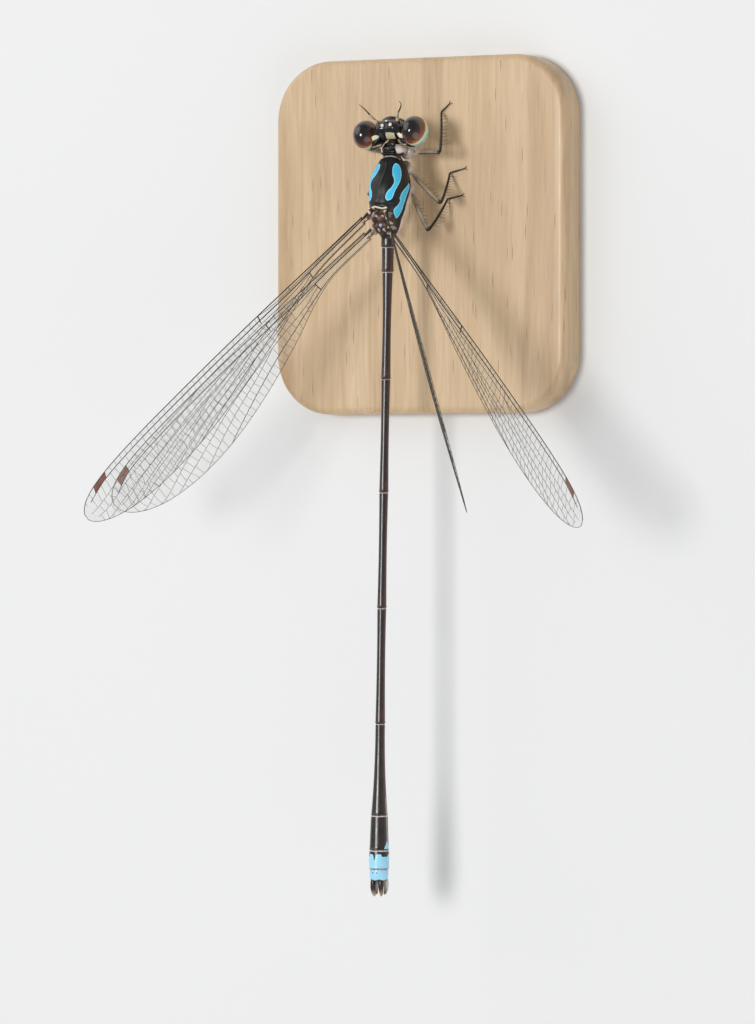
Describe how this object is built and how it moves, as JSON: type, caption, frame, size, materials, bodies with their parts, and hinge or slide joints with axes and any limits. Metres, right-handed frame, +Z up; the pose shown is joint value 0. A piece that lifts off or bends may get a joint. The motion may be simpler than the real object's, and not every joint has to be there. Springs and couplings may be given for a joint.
{
  "type": "damselfly",
  "caption": "Life-size still model of a very slender black damselfly with blue thorax stripes and tail tip, wings half spread, on a small flat base.",
  "frame": {"origin": "middle of the display base's flat underside", "axes": "+Z up from the table, +Y along the animal's tail, with the head towards -Y and its right side towards -X"},
  "size_m": [0.0365, 0.0563, 0.0231],
  "materials": {
    "base_wood": "satin",
    "cuticle_black": "gloss",
    "cuticle_blue": "satin",
    "cuticle_brown": "satin",
    "eye": "gloss",
    "leg": "satin",
    "wing_membrane": "gloss"
  },
  "bodies": {
    "root": {"stand_base": "base_wood", "head": "cuticle_black", "eye_left": "eye", "antenna_left": "cuticle_brown", "eye_right": "eye", "antenna_right": "cuticle_brown", "prothorax": "cuticle_black", "thorax": "cuticle_black", "abdomen_1": "cuticle_black", "abdomen_2": "cuticle_black", "abdomen_3": "cuticle_black", "abdomen_4": "cuticle_black", "abdomen_5": "cuticle_black", "abdomen_6": "cuticle_black", "abdomen_7": "cuticle_black", "abdomen_8": "cuticle_black", "abdomen_9": "cuticle_blue", "abdomen_10": "cuticle_blue", "cercus_left": "cuticle_black", "paraproct_left": "cuticle_brown", "cercus_right": "cuticle_black", "paraproct_right": "cuticle_brown", "leg_front_left_upper": "leg", "leg_front_left_lower": "leg", "leg_front_right_upper": "leg", "leg_front_right_lower": "leg", "leg_middle_left_upper": "leg", "leg_middle_left_lower": "leg", "leg_middle_right_upper": "leg", "leg_middle_right_lower": "leg", "leg_hind_left_upper": "leg", "leg_hind_left_lower": "leg", "leg_hind_right_upper": "leg", "leg_hind_right_lower": "leg", "wing_fore_left": "wing_membrane", "wing_fore_right": "wing_membrane", "wing_hind_left": "wing_membrane", "wing_hind_right": "wing_membrane"}
  },
  "joints": []
}
